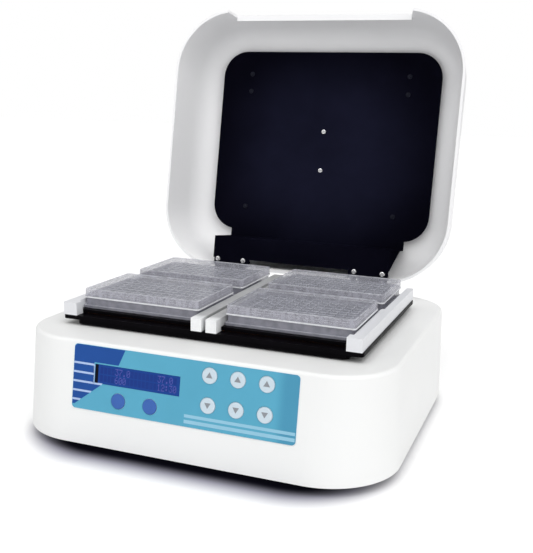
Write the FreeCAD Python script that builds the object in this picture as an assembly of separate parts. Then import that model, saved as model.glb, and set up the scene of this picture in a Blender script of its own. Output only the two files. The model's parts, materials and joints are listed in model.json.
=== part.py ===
"""Microplate shaker incubator: a heated orbital shaker for four microplates, with a hinged lid.

Millimetres, +Z up. X runs across the front, +Y runs from the front to the back.
Everything is modelled with y = 0 at the middle of the base's footprint and z = 0 on the bench.
The finished pieces are then moved in Y, so that the origin lies under the middle of the machine's
own box with its lid open. The lid is modelled closed and then swung open about its hinge.
"""
import FreeCAD
import Part
import math
import os
from FreeCAD import Vector

# Base housing
base_width = 376.6
base_depth = 337.5
base_corner_r = 70.0
base_top_corner_r = 57.0
foot_height = 8.0
deck_z = 104.0
side_draft = 4.6
front_lean = 14.0
rear_lean = 2.5
top_edge_r = 3.5
wall = 3.0
pan_thickness = 2.5
pan_clearance = 0.3
foot_r = 12.0
foot_inset_x = 62.0
foot_inset_y = 56.0
pan_screw_r = 3.5
pan_screw_height = 1.6
pan_screw_inset = 22.0

# Control panel on the leaning front
label_left = -111.0
label_right = 110.4
label_low = 33.3
label_high = 93.8
label_corner_r = 3.5
label_thickness = 0.6
lcd_left = -88.0
lcd_right = -0.7
lcd_low = 59.3
lcd_high = 77.4
lcd_depth = 8.0
lcd_frame = 3.0
window_gap = 0.15
key_r = 7.1
key_gap = 0.3
key_rise = 0.7
key_travel = 0.5
key_stem_r = 2.5
key_stem_clearance = 0.35
blue_key_x = (-62.1, -29.5)
blue_key_h = 45.7
white_key_x = (27.4, 54.3, 81.2)
white_key_up_h = 82.0
white_key_down_h = 55.3
switch_height = 3.5
switch_half = 3.0
post_r = 2.0
board_thickness = 1.6
board_margin = 4.0

# Shaking drive
orbit_r = 1.0
tray_mid_y = -4.75
tray_front_margin = 17.3
tray_rear_margin = 9.2
tray_z = 110.0
tray_thickness = 4.0
carrier_inset_x = 14.0
carrier_inset_y = 2.0
carrier_thickness = 4.5
idler_inset = 23.0
idler_pin_r = 3.5
crank_pin_r = 4.5
pin_clearance = 0.1
pin_end_gap = 0.4
bearing_wall = 4.0
drive_plate_z = 60.0
drive_plate_thickness = 4.0
drive_plate_width = 256.0
drive_plate_depth = 196.0
standoff_r = 6.0
standoff_inset = 10.0
spindle_r = 6.0
spindle_low_z = 42.0
housing_wall = 7.0
idler_shaft_r = 5.0
idler_housing_top_z = 92.0
shaft_clearance = 0.08
belt_pitch = 3.0
driven_teeth = 48
motor_teeth = 20
pulley_low_z = 67.0
pulley_height = 10.0
flange_height = 1.2
flange_rise = 1.6
belt_thickness = 1.6
belt_gap = 0.3
belt_height = 6.0
counterweight_r = 32.0
counterweight_low_z = 79.0
counterweight_height = 8.0
motor_x = 78.0
motor_r = 28.0
motor_height = 34.0
motor_shaft_r = 3.0
deck_hole_clearance = 3.0

# Heated tray
heater_mat_thickness = 1.0
mat_margin = 3.0
heater_block_thickness = 3.2
heater_block_inset_x = 13.5
heater_block_inset_front = 11.0
heater_block_inset_rear = 6.0
pad_height = 1.8
rail_height = 12.6
rail_ledge = 1.0
rail_outer_width = 7.5
rail_grip_width = 3.44
rail_front_width = 14.7
rail_block_gap = 0.3
rail_tip_share = 0.95
centre_rail_gap = 4.4

# Microplates
plate_length = 127.76
plate_width = 85.48
plate_height = 14.35
plate_wall = 1.2
plate_skirt_height = 2.6
plate_skirt_step = 1.9
plate_corner_r = 2.4
plate_seat_gap = 0.1
column_gap = 26.4
row_gap = 20.6
well_pitch = 9.0
well_side = 6.2
well_depth = 10.7
well_columns = 12
well_rows = 8
plate_lid_height = 9.2
plate_lid_wall = 1.1
plate_lid_clearance = 0.45
plate_lid_ring_inset = 4.0
plate_lid_gap = 0.05
plate_lid_rise = 5.0

# Lid
rim_gap = 1.5
lid_side_set = 3.2
lid_front_overhang = 1.9
lid_height = 78.0
lid_corner_r = 75.0
lid_draft = 8.0
lid_top_edge_r = 34.0
lid_wall = 3.0
lid_open_angle = 100.0
axis_above_rim = 17.4
axis_from_rear = 5.0
axis_from_back = 11.4
notch_half_width = 115.0
notch_height = 18.0
notch_slant = 5.0
grip_depth = 7.0
grip_height = 4.0

# Lid liner, a bent sheet
panel_side_margin = 36.5
panel_near = 46.0
panel_front_margin = 34.5
panel_above_rim = 67.9
panel_corner_r = 32.0
sheet = 1.5
neck_half_width = 116.0
neck_near = 35.0
leaf_half_width = 112.5
leaf_above_rim = 9.5
leaf_near = 7.0
leaf_far = 32.7
tab_near = -1.4
tab_inner = 64.0
tab_outer = 111.0
heater_foil = 0.8
far_screw_inset = 40.0
far_screws_from_far = (29.0, 51.0)
near_screw_inset = 45.0
near_screw_from_near = 30.0
centre_screws_from_far = (100.0, 149.0)
foil_inset = 16.0
liner_screw_head_r = 3.0
liner_screw_head_height = 1.2
boss_r = 4.5

# Hinges
hinge_x = 88.7
bracket_half_width = 13.5
bracket_thickness = 4.0
barrel_r = 5.0
hinge_pin_r = 2.5
arm_inner = 17.0
arm_outer = 22.0
arm_boss_r = 6.0
lid_leaf_thickness = 3.0
lid_leaf_near = 6.5
lid_leaf_far = 28.0
tab_screw_spread = 17.1
tab_screw_near = 5.7
tab_screw_head_r = 3.2
tab_screw_head_height = 1.6
slot_margin = 3.5
slot_height = 34.0

# Rear panel
inlet_x = 92.0
inlet_z = 42.0
inlet_width = 31.0
inlet_height = 24.0
inlet_flange_width = 46.0
inlet_flange_height = 30.0
inlet_flange_thickness = 2.5
inlet_depth = 26.0
inlet_mouth_width = 24.4
inlet_mouth_height = 16.6
inlet_mouth_depth = 15.0
inlet_corner = 4.5
rocker_x = 48.0
rocker_width = 12.0
rocker_height = 20.0
rocker_tilt = 9.0
rocker_depth = 8.0
bezel_width = 17.0
bezel_height = 27.0
bezel_thickness = 2.0
bezel_lip = 1.5
vent_count = 9
vent_width = 3.0
vent_height = 26.0
vent_pitch = 8.0
vent_x = -92.0
vent_z = 48.0
supply_size = (120.0, 52.0, 34.0)
supply_x = -40.0
supply_from_back = 52.0
board_size = (160.0, 28.0)
board_from_front = 55.0
board_post_height = 8.0
board_post_inset = 6.0
board_post_r = 3.0

# Values worked out from the sizes above
half_w = base_width / 2
half_d = base_depth / 2
pan_z = foot_height
shell_height = deck_z - foot_height
lean_angle = math.degrees(math.atan2(front_lean, shell_height))
rear_angle = math.degrees(math.atan2(rear_lean, shell_height))
front_top_y = -half_d + front_lean
rear_top_y = half_d - rear_lean
tray_half_w = (column_gap / 2 + plate_length + plate_seat_gap + rail_grip_width + rail_outer_width
               + rail_ledge)
tray_depth = 2 * plate_width + row_gap + tray_front_margin + tray_rear_margin
tray_front = tray_mid_y - tray_depth / 2
tray_rear = tray_front + tray_depth
front_row_y = tray_front + tray_front_margin
crank_y = tray_mid_y - orbit_r
carrier_z = tray_z - carrier_thickness
tray_top = tray_z + tray_thickness
block_z = tray_top + heater_mat_thickness
block_top = block_z + heater_block_thickness
plate_z = block_top + plate_seat_gap
plate_lid_top = plate_z + plate_height + plate_lid_rise
rim_z = deck_z + rim_gap
axis_y = rear_top_y - axis_from_back
axis_z = rim_z + axis_above_rim
lid_half_width = half_w - side_draft - lid_side_set
lid_depth = axis_y + axis_from_rear - front_top_y + lid_front_overhang
panel_half_width = lid_half_width - panel_side_margin
panel_far = lid_depth - axis_from_rear - panel_front_margin
pin_top = tray_z - pin_end_gap
driven_r = driven_teeth * belt_pitch / (2 * math.pi)
motor_pulley_r = motor_teeth * belt_pitch / (2 * math.pi)
idler_x = drive_plate_width / 2 - idler_inset
idler_y = drive_plate_depth / 2 - idler_inset
idler_points = [(sx * idler_x, sy * idler_y) for sy in (-1, 1) for sx in (-1, 1)]
plate_names = ["front_left", "front_right", "rear_left", "rear_right"]

parts = {}


def box(x0, x1, y0, y1, z0, z1):
    return Part.makeBox(x1 - x0, y1 - y0, z1 - z0, Vector(x0, y0, z0))


def rod(x, y, z0, z1, r):
    return Part.makeCylinder(r, z1 - z0, Vector(x, y, z0))


def rod_x(y, z, x0, x1, r):
    return Part.makeCylinder(r, x1 - x0, Vector(x0, y, z), Vector(1, 0, 0))


def outline(x0, x1, y0, y1, r, z):
    """A rectangle with rounded corners, as one closed wire at height z."""
    corners = [(x1 - r, y0 + r, -90), (x1 - r, y1 - r, 0), (x0 + r, y1 - r, 90), (x0 + r, y0 + r, 180)]
    arcs = []
    for cx, cy, start in corners:
        points = []
        for turn in (0, 45, 90):
            angle = math.radians(start + turn)
            points.append(Vector(cx + r * math.cos(angle), cy + r * math.sin(angle), z))
        arcs.append(Part.Arc(*points).toShape())
    edges = []
    for here, after in zip(arcs, arcs[1:] + arcs[:1]):
        edges.append(here)
        start = here.Vertexes[-1].Point
        end = after.Vertexes[0].Point
        if start.distanceToPoint(end) > 1e-6:
            edges.append(Part.LineSegment(start, end).toShape())
    return Part.Wire(edges)


def slab(x0, x1, y0, y1, r, z0, z1):
    face = Part.Face(outline(x0, x1, y0, y1, r, z0))
    return face.extrude(Vector(0, 0, z1 - z0))


def prism_x(points, x0, x1):
    """A solid whose (y, z) profile is drawn by points, from x0 to x1."""
    ring = [Vector(x0, y, z) for y, z in points]
    return Part.Face(Part.makePolygon(ring + ring[:1])).extrude(Vector(x1 - x0, 0, 0))


def loft(low, high):
    return Part.makeLoft([low, high], True, True)


def round_top(solid, z, r):
    edges = [e for e in solid.Edges if abs(e.BoundBox.ZMin - z) < 1e-4 and abs(e.BoundBox.ZMax - z) < 1e-4]
    return solid.makeFillet(r, edges)


def fuse(shapes):
    whole = shapes[0]
    if len(shapes) > 1:
        whole = whole.fuse(shapes[1:])
    return whole.removeSplitter()


def cut(shape, tools):
    return shape.cut(Part.makeCompound(tools))


def mirrored(shape):
    return shape.mirror(Vector(0, 0, 0), Vector(1, 0, 0))


def front_y(z):
    return -half_d + front_lean * (z - foot_height) / shell_height


def rear_y(z):
    return half_d - rear_lean * (z - foot_height) / shell_height


def onto_front(shape):
    """Drawn flat: x across, y up the leaning front from its foot, z out of it."""
    shape = shape.copy()
    shape.rotate(Vector(0, 0, 0), Vector(1, 0, 0), 90 - lean_angle)
    shape.translate(Vector(0, -half_d, foot_height))
    return shape


def onto_rear(shape):
    """Drawn flat: x across seen from behind, y up the rear wall from the bench, z out of it."""
    shape = shape.copy()
    shape.rotate(Vector(0, 0, 0), Vector(1, 0, 0), 90 - rear_angle)
    shape.rotate(Vector(0, 0, 0), Vector(0, 0, 1), 180)
    shape.translate(Vector(0, rear_y(0), 0))
    return shape


def key_places():
    places = {}
    for number, x in enumerate(blue_key_x, 1):
        places["function_key_%d" % number] = (x, blue_key_h)
    for number, x in enumerate(white_key_x, 1):
        places["up_key_%d" % number] = (x, white_key_up_h)
        places["down_key_%d" % number] = (x, white_key_down_h)
    return places


def block_body(inset, z0, z1, edge_r):
    """The tapering body of the base, drawn in by inset on every side."""
    share0 = (z0 - foot_height) / shell_height
    share1 = (z1 - foot_height) / shell_height
    ends = []
    for z, share in ((z0, share0), (z1, share1)):
        side = half_w - side_draft * share - inset
        r = base_corner_r + (base_top_corner_r - base_corner_r) * share - inset
        ends.append(outline(-side, side, front_y(z) + inset, rear_y(z) - inset, r, z))
    body = loft(*ends)
    if edge_r > 0:
        body = round_top(body, z1, edge_r)
    return body


def make_base_shell():
    outer = block_body(0, foot_height, deck_z, top_edge_r)
    inner = block_body(wall, foot_height, deck_z - wall, top_edge_r - wall)
    shell = outer.cut(inner)
    holes = [rod(0, crank_y, deck_z - 2 * wall, deck_z + 1, crank_pin_r + orbit_r + deck_hole_clearance)]
    for x, y in idler_points:
        holes.append(rod(x, crank_y + y, deck_z - 2 * wall, deck_z + 1,
                         idler_pin_r + orbit_r + deck_hole_clearance))
    holes.append(onto_front(box(lcd_left, lcd_right, lcd_low, lcd_high, -3 * wall, 1)))
    for x, h in key_places().values():
        holes.append(onto_front(rod(x, h, -3 * wall, 1, key_stem_r + key_stem_clearance)))
    half_iw = inlet_width / 2
    half_ih = inlet_height / 2
    holes.append(onto_rear(box(-inlet_x - half_iw - pan_clearance, -inlet_x + half_iw + pan_clearance,
                               inlet_z - half_ih - pan_clearance, inlet_z + half_ih + pan_clearance,
                               -3 * wall, wall)))
    half_bw = bezel_width / 2 - bezel_lip
    half_bh = bezel_height / 2 - bezel_lip
    holes.append(onto_rear(box(-rocker_x - half_bw, -rocker_x + half_bw, inlet_z - half_bh,
                               inlet_z + half_bh, -3 * wall, wall)))
    for number in range(vent_count):
        x = vent_x + (number - (vent_count - 1) / 2) * vent_pitch
        holes.append(onto_rear(slab(-x - vent_width / 2, -x + vent_width / 2, vent_z - vent_height / 2,
                                    vent_z + vent_height / 2, vent_width / 2 - 0.01, -3 * wall, wall)))
    parts["base_shell"] = cut(shell, holes)


def make_pan():
    side = half_w - wall - pan_clearance
    r = base_corner_r - wall - pan_clearance
    inset = wall + pan_clearance + front_lean * pan_thickness / shell_height
    pan = slab(-side, side, -half_d + inset, half_d - inset, r, pan_z, pan_z + pan_thickness)
    parts["base_pan"] = pan
    feet = []
    for sx in (-1, 1):
        for sy in (-1, 1):
            x = sx * (half_w - foot_inset_x)
            y = sy * (half_d - foot_inset_y)
            foot = Part.makeCone(foot_r - 2, foot_r, foot_height, Vector(x, y, 0))
            feet.append(foot)
    parts["rubber_feet"] = Part.makeCompound(feet)
    x = half_w - pan_screw_inset
    y = half_d - pan_screw_inset
    heads = []
    for px, py in ((-x, 0), (x, 0), (0, -y), (0, y), (-x, -half_d / 3), (x, -half_d / 3),
                   (-x, half_d / 3), (x, half_d / 3)):
        heads.append(rod(px, py, pan_z - pan_screw_height, pan_z, pan_screw_r))
    parts["pan_screws"] = Part.makeCompound(heads)


def make_controls():
    overlay = slab(label_left, label_right, label_low, label_high, label_corner_r, 0, label_thickness)
    places = key_places()
    holes = [rod(x, h, -1, 2, key_r + key_gap) for x, h in places.values()]
    holes.append(box(lcd_left, lcd_right, lcd_low, lcd_high, -1, 2))
    parts["control_overlay"] = onto_front(cut(overlay, holes))
    skin = wall * math.cos(math.radians(lean_angle))
    parts["lcd_window"] = onto_front(box(lcd_left + window_gap, lcd_right - window_gap,
                                         lcd_low + window_gap, lcd_high - window_gap,
                                         -skin, label_thickness))
    module_top = -skin - window_gap
    parts["lcd_module"] = onto_front(box(lcd_left - lcd_frame, lcd_right + lcd_frame,
                                         lcd_low - lcd_frame, lcd_high + lcd_frame,
                                         module_top - lcd_depth, module_top))
    stem_low = -wall - 1.5
    for name, (x, h) in places.items():
        cap = rod(x, h, label_thickness, label_thickness + key_rise, key_r)
        rim = [e for e in cap.Edges if abs(e.BoundBox.ZMin - label_thickness - key_rise) < 1e-4
               and abs(e.BoundBox.ZMax - label_thickness - key_rise) < 1e-4]
        cap = cap.makeChamfer(key_rise * 0.6, rim)
        stem = rod(x, h, stem_low, label_thickness, key_stem_r)
        parts[name] = onto_front(fuse([cap, stem]))
    switch_top = stem_low - key_travel
    board_top = switch_top - switch_height
    low = min(h for x, h in places.values()) - key_r - board_margin
    high = max(h for x, h in places.values()) + key_r + board_margin
    right = max(x for x, h in places.values()) + key_r + board_margin
    split = lcd_right + lcd_frame + 2
    right_board = box(split, right, low, high, board_top - board_thickness, board_top)
    left = min(x for x, h in places.values()) - key_r - board_margin
    left_top = lcd_low - lcd_frame - 1
    left_board = box(left, split + 1, low, left_top, board_top - board_thickness, board_top)
    pieces = [right_board, left_board]
    pieces += [box(x - switch_half, x + switch_half, h - switch_half, h + switch_half, board_top, switch_top)
               for x, h in places.values()]
    post_in = post_r + 0.5
    for x, h in ((left + post_in, low + post_in), (left + post_in, left_top - post_in),
                 (right - post_in, low + post_in), (right - post_in, high - post_in),
                 (split + post_in, high - post_in)):
        pieces.append(rod(x, h, board_top, -skin, post_r))
    parts["keypad_board"] = onto_front(fuse(pieces))


def make_drive_frame():
    x1 = drive_plate_width / 2
    y1 = drive_plate_depth / 2
    plate_top = drive_plate_z + drive_plate_thickness
    plate = slab(-x1, x1, crank_y - y1, crank_y + y1, 12, drive_plate_z, plate_top)
    holes = [rod(0, crank_y, 0, deck_z, spindle_r + housing_wall),
             rod(motor_x, crank_y, 0, deck_z, motor_pulley_r + flange_rise + 1)]
    parts["drive_plate"] = cut(plate, holes)
    standoffs = []
    for sx in (-1, 1):
        for sy in (-1, 1):
            standoffs.append(rod(sx * (x1 - standoff_inset), crank_y + sy * (y1 - standoff_inset),
                                 pan_z + pan_thickness, drive_plate_z, standoff_r))
    parts["plate_standoffs"] = Part.makeCompound(standoffs)
    tube = rod(0, crank_y, spindle_low_z, plate_top, spindle_r + housing_wall)
    collar = rod(0, crank_y, drive_plate_z - 5, drive_plate_z, spindle_r + housing_wall + 8)
    bore = rod(0, crank_y, spindle_low_z - 1, plate_top + 1, spindle_r + shaft_clearance)
    parts["spindle_housing"] = fuse([tube, collar]).cut(bore)
    housings = []
    for x, y in idler_points:
        column = rod(x, crank_y + y, plate_top, idler_housing_top_z, idler_shaft_r + housing_wall - 1)
        foot = rod(x, crank_y + y, plate_top, plate_top + 4, idler_shaft_r + housing_wall + 5)
        hole = rod(x, crank_y + y, plate_top - 1, idler_housing_top_z + 1, idler_shaft_r + shaft_clearance)
        housings.append(fuse([column, foot]).cut(hole))
    parts["idler_housings"] = Part.makeCompound(housings)
    motor = rod(motor_x, crank_y, drive_plate_z - motor_height, drive_plate_z, motor_r)
    bore = rod(motor_x, crank_y, 0, deck_z, motor_shaft_r + shaft_clearance)
    parts["drive_motor"] = motor.cut(bore)


def pulley(x, y, pitch_r, bore_r):
    """A flanged belt pulley with its teeth left as a plain running face."""
    low = pulley_low_z
    high = pulley_low_z + pulley_height
    wheel = rod(x, y, low, high, pitch_r)
    lower = rod(x, y, low, low + flange_height, pitch_r + flange_rise)
    upper = rod(x, y, high - flange_height, high, pitch_r + flange_rise)
    return fuse([wheel, lower, upper]).cut(rod(x, y, low - 1, high + 1, bore_r))


def make_drive():
    spindle = rod(0, crank_y, spindle_low_z, carrier_z - 3, spindle_r)
    pin = rod(0, crank_y + orbit_r, carrier_z - 3, pin_top, crank_pin_r)
    parts["crank_spindle"] = fuse([spindle, pin])
    parts["driven_pulley"] = pulley(0, crank_y, driven_r, spindle_r)
    low = counterweight_low_z
    disc = rod(0, crank_y, low, low + counterweight_height, counterweight_r)
    keep = box(-counterweight_r, counterweight_r, crank_y - counterweight_r, crank_y, low, deck_z)
    hub = rod(0, crank_y, low, low + counterweight_height, spindle_r + 5)
    weight = fuse([disc.common(keep), hub])
    parts["counterweight"] = weight.cut(rod(0, crank_y, 0, deck_z, spindle_r))
    for number, (x, y) in enumerate(idler_points, 1):
        shaft = rod(x, crank_y + y, drive_plate_z + drive_plate_thickness + 1, carrier_z - 3, idler_shaft_r)
        disc = rod(x, crank_y + y, idler_housing_top_z + 0.3, idler_housing_top_z + 4, idler_shaft_r + 4)
        pin = rod(x, crank_y + y + orbit_r, carrier_z - 3, pin_top, idler_pin_r)
        parts["idler_crank_%d" % number] = fuse([shaft, disc, pin])
    shaft = rod(motor_x, crank_y, drive_plate_z - motor_height + 2, pulley_low_z + pulley_height + 1,
                motor_shaft_r)
    parts["motor_shaft"] = shaft
    parts["motor_pulley"] = pulley(motor_x, crank_y, motor_pulley_r, motor_shaft_r)
    parts["drive_belt"] = make_belt()


def belt_loop(gap, z0, z1):
    """The outside of a belt round both pulleys, gap off their faces."""
    ra = driven_r + gap
    rb = motor_pulley_r + gap
    lean = math.asin((ra - rb) / motor_x)
    sx, cx = math.sin(lean), math.cos(lean)
    a_up = Vector(ra * sx, crank_y + ra * cx, z0)
    b_up = Vector(motor_x + rb * sx, crank_y + rb * cx, z0)
    a_down = Vector(ra * sx, crank_y - ra * cx, z0)
    b_down = Vector(motor_x + rb * sx, crank_y - rb * cx, z0)
    edges = [Part.LineSegment(a_up, b_up).toShape(),
             Part.Arc(b_up, Vector(motor_x + rb, crank_y, z0), b_down).toShape(),
             Part.LineSegment(b_down, a_down).toShape(),
             Part.Arc(a_down, Vector(-ra, crank_y, z0), a_up).toShape()]
    return Part.Face(Part.Wire(edges)).extrude(Vector(0, 0, z1 - z0))


def make_belt():
    z0 = pulley_low_z + (pulley_height - belt_height) / 2
    z1 = z0 + belt_height
    return belt_loop(belt_gap + belt_thickness, z0, z1).cut(belt_loop(belt_gap, z0, z1))


def make_electronics():
    length, depth, height = supply_size
    floor = pan_z + pan_thickness
    supply_y = half_d - supply_from_back
    parts["power_supply"] = box(supply_x - length / 2, supply_x + length / 2, supply_y - depth / 2,
                                supply_y + depth / 2, floor, floor + height)
    hx = board_size[0] / 2
    hy = board_size[1] / 2
    board_y = board_from_front - half_d
    low = floor + board_post_height
    board = slab(-hx, hx, board_y - hy, board_y + hy, 2, low, low + board_thickness)
    posts = []
    for sx in (-1, 1):
        for sy in (-1, 1):
            posts.append(rod(sx * (hx - board_post_inset), board_y + sy * (hy - board_post_inset),
                             floor, low, board_post_r))
    parts["main_board"] = fuse([board] + posts)


def make_rear_panel():
    half_w_ = inlet_width / 2
    half_h_ = inlet_height / 2
    body = slab(-half_w_, half_w_, -half_h_, half_h_, 2, -inlet_depth, 0)
    flange = slab(-inlet_flange_width / 2, inlet_flange_width / 2, -inlet_flange_height / 2,
                  inlet_flange_height / 2, 3, 0, inlet_flange_thickness)
    mw = inlet_mouth_width / 2
    mh = inlet_mouth_height / 2
    c = inlet_corner
    points = [(-mw, -mh), (mw, -mh), (mw, mh - c), (mw - c, mh), (-mw + c, mh), (-mw, mh - c)]
    ring = [Vector(x, y, inlet_flange_thickness - inlet_mouth_depth) for x, y in points]
    mouth = Part.Face(Part.makePolygon(ring + ring[:1])).extrude(Vector(0, 0, inlet_mouth_depth + 1))
    inlet = fuse([body, flange]).cut(mouth)
    blades = []
    for x, y in ((-7, -0.8), (7, -0.8), (0, 3.4)):
        blades.append(box(x - 1, x + 1, y - 2, y + 2, inlet_flange_thickness - inlet_mouth_depth,
                          inlet_flange_thickness - 2.5))
    inlet = fuse([inlet] + blades)
    inlet.translate(Vector(-inlet_x, inlet_z, 0))
    parts["power_inlet"] = onto_rear(inlet)
    bw = bezel_width / 2
    bh = bezel_height / 2
    bezel = slab(-bw, bw, -bh, bh, 2, 0, bezel_thickness)
    frame = box(-bw + 2, bw - 2, -bh + 2, bh - 2, -14, 0)
    hole = box(-rocker_width / 2 - 0.4, rocker_width / 2 + 0.4, -rocker_height / 2 - 0.6,
               rocker_height / 2 + 0.6, -rocker_depth - 3, bezel_thickness + 1)
    bezel = fuse([bezel, frame]).cut(hole)
    bezel.translate(Vector(-rocker_x, inlet_z, 0))
    parts["switch_bezel"] = onto_rear(bezel)
    half = rocker_height / 2
    tilt = math.radians(rocker_tilt)
    profile = [(-half, bezel_thickness - 1.5), (-half, bezel_thickness + 2.6), (0, bezel_thickness + 0.6),
               (half, bezel_thickness + 2.6), (half, bezel_thickness - 1.5), (3, -rocker_depth + 2),
               (-3, -rocker_depth + 2)]
    ring = [Vector(-rocker_width / 2, y, z) for y, z in profile]
    rocker = Part.Face(Part.makePolygon(ring + ring[:1])).extrude(Vector(rocker_width, 0, 0))
    rocker.rotate(Vector(0, 0, -1), Vector(1, 0, 0), math.degrees(tilt) / 2)
    rocker.translate(Vector(-rocker_x, inlet_z, 0))
    parts["power_rocker"] = onto_rear(rocker)


def make_platform():
    hx = tray_half_w
    carrier = slab(-hx + carrier_inset_x, hx - carrier_inset_x, tray_front + carrier_inset_y,
                   tray_rear - carrier_inset_y, 6, carrier_z, tray_z)
    bearing_places = [(0, 0, crank_pin_r)] + [(x, y, idler_pin_r) for x, y in idler_points]
    sockets = []
    rings = []
    for x, y, r in bearing_places:
        y = tray_mid_y + y
        outside = r + pin_clearance + bearing_wall
        sockets.append(rod(x, y, carrier_z - 1, tray_z + 1, outside))
        ring = rod(x, y, carrier_z, tray_z, outside)
        rings.append(ring.cut(rod(x, y, carrier_z - 1, tray_z + 1, r + pin_clearance)))
    parts["platform_carrier"] = cut(carrier, sockets)
    parts["platform_bearings"] = Part.makeCompound(rings)
    parts["tray_plate"] = slab(-hx, hx, tray_front, tray_rear, 4, tray_z, tray_top)
    bx = hx - heater_block_inset_x
    by0 = tray_front + heater_block_inset_front
    by1 = tray_rear - heater_block_inset_rear
    slot = box(-rail_slot_half(), rail_slot_half(), by0 - 1, by1 + 1, tray_top - 1, block_top + 1)
    mat = slab(-bx + mat_margin, bx - mat_margin, by0 + mat_margin, by1 - mat_margin, 3, tray_top, block_z)
    parts["heater_mat"] = mat.cut(slot)
    block = slab(-bx, bx, by0, by1, 3, block_z, block_top)
    pads = []
    inset = plate_wall + plate_skirt_step + 1.4
    for x, y in plate_places():
        pads.append(slab(x - plate_length / 2 + inset, x + plate_length / 2 - inset,
                         y - plate_width / 2 + inset, y + plate_width / 2 - inset, 3, block_top,
                         block_top + pad_height))
    parts["heater_block"] = fuse([block.cut(slot)] + pads)


def rail_slot_half():
    return column_gap / 2 - plate_seat_gap


def plate_places():
    """The middle of each plate: front left, front right, rear left, rear right."""
    x = (column_gap + plate_length) / 2
    front = front_row_y + plate_width / 2
    rear = front + plate_width + row_gap
    return [(-x, front), (x, front), (-x, rear), (x, rear)]


def make_rails():
    hx = tray_half_w
    plate_edge = column_gap / 2 + plate_length
    outer = hx - rail_ledge
    inner = outer - rail_outer_width
    top = tray_top + rail_height
    rail = box(inner, outer, tray_front, tray_rear, tray_top, top)
    grip_end = front_row_y + plate_width + row_gap / 2
    grip_in = plate_edge + plate_seat_gap
    grip = box(grip_in, inner, tray_front, grip_end, block_top, top)
    block_rear = tray_front + heater_block_inset_front - rail_block_gap
    front_block = box(outer - rail_front_width, inner, tray_front, block_rear, tray_top, top)
    tip_r = (inner - grip_in) * rail_tip_share
    tip = [e for e in grip.Edges if e.BoundBox.ZLength > 1 and abs(e.BoundBox.YMin - grip_end) < 1e-4
           and abs(e.BoundBox.XMin - grip_in) < 1e-4]
    grip = grip.makeFillet(tip_r, tip)
    right = fuse([rail, grip, front_block])
    parts["outer_rail_right"] = right
    parts["outer_rail_left"] = mirrored(right)
    inner = centre_rail_gap / 2
    outer = rail_slot_half() - plate_seat_gap
    rails = []
    for sx in (-1, 1):
        x0, x1 = sorted((sx * inner, sx * outer))
        rails.append(box(x0, x1, tray_front, tray_rear, tray_top, tray_top + rail_height))
    parts["centre_rails"] = Part.makeCompound(rails)


def make_plate(x, y):
    """A 96-well plate: skirt below, step, and square-bottomed pockets for the wells."""
    hl, hw = plate_length / 2, plate_width / 2
    skirt = slab(x - hl, x + hl, y - hw, y + hw, plate_corner_r, plate_z, plate_z + plate_skirt_height)
    s = plate_skirt_step
    body = slab(x - hl + s, x + hl - s, y - hw + s, y + hw - s, plate_corner_r,
                plate_z + plate_skirt_height, plate_z + plate_height)
    under = s + plate_wall
    hollow = slab(x - hl + under, x + hl - under, y - hw + under, y + hw - under, plate_corner_r - 1,
                  plate_z - 1, plate_z + plate_skirt_height)
    wells = []
    top = plate_z + plate_height
    half = well_side / 2
    for column in range(well_columns):
        for row in range(well_rows):
            wx = x + (column - (well_columns - 1) / 2) * well_pitch
            wy = y + (row - (well_rows - 1) / 2) * well_pitch
            wells.append(box(wx - half, wx + half, wy - half, wy + half, top - well_depth, top + 1))
    return cut(fuse([skirt, body]), [hollow] + wells)


def make_plate_lid(x, y):
    hl = plate_length / 2 - plate_skirt_step + plate_lid_clearance + plate_lid_wall
    hw = plate_width / 2 - plate_skirt_step + plate_lid_clearance + plate_lid_wall
    low = plate_lid_top - plate_lid_height
    outer = slab(x - hl, x + hl, y - hw, y + hw, plate_corner_r + 1, low, plate_lid_top)
    w = plate_lid_wall
    inner = slab(x - hl + w, x + hl - w, y - hw + w, y + hw - w, plate_corner_r, low - 1,
                 plate_lid_top - plate_lid_wall)
    ring_low = plate_z + plate_height + plate_lid_gap
    a = plate_lid_ring_inset
    b = a + plate_lid_wall
    ring = slab(x - hl + a, x + hl - a, y - hw + a, y + hw - a, plate_corner_r,
                ring_low, plate_lid_top - plate_lid_wall / 2)
    recess = slab(x - hl + b, x + hl - b, y - hw + b, y + hw - b, plate_corner_r,
                  ring_low, plate_lid_top - plate_lid_wall)
    return fuse([outer.cut(inner), ring.cut(recess)])


def make_plates():
    for name, (x, y) in zip(plate_names, plate_places()):
        parts["microplate_" + name] = make_plate(x, y)
        parts["plate_lid_" + name] = make_plate_lid(x, y)


def lid_box(x0, x1, near0, near1, up0, up1):
    """A box in the closed lid: near is measured forward of the hinge axis, up from the rim."""
    return box(x0, x1, axis_y - near1, axis_y - near0, rim_z + up0, rim_z + up1)


def lid_body(inset, up0, up1, edge_r):
    ends = []
    for up in (up0, up1):
        draw = inset + lid_draft * up / lid_height
        side = lid_half_width - draw
        rear = axis_y + axis_from_rear - draw
        front = axis_y + axis_from_rear - lid_depth + draw
        ends.append(outline(-side, side, front, rear, lid_corner_r - draw, rim_z + up))
    return round_top(loft(*ends), rim_z + up1, edge_r)


def liner_screw_places():
    places = [(0, panel_far - back) for back in centre_screws_from_far]
    for sx in (-1, 1):
        places.append((sx * (panel_half_width - near_screw_inset), panel_near + near_screw_from_near))
        for back in far_screws_from_far:
            places.append((sx * (panel_half_width - far_screw_inset), panel_far - back))
    return places


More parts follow.
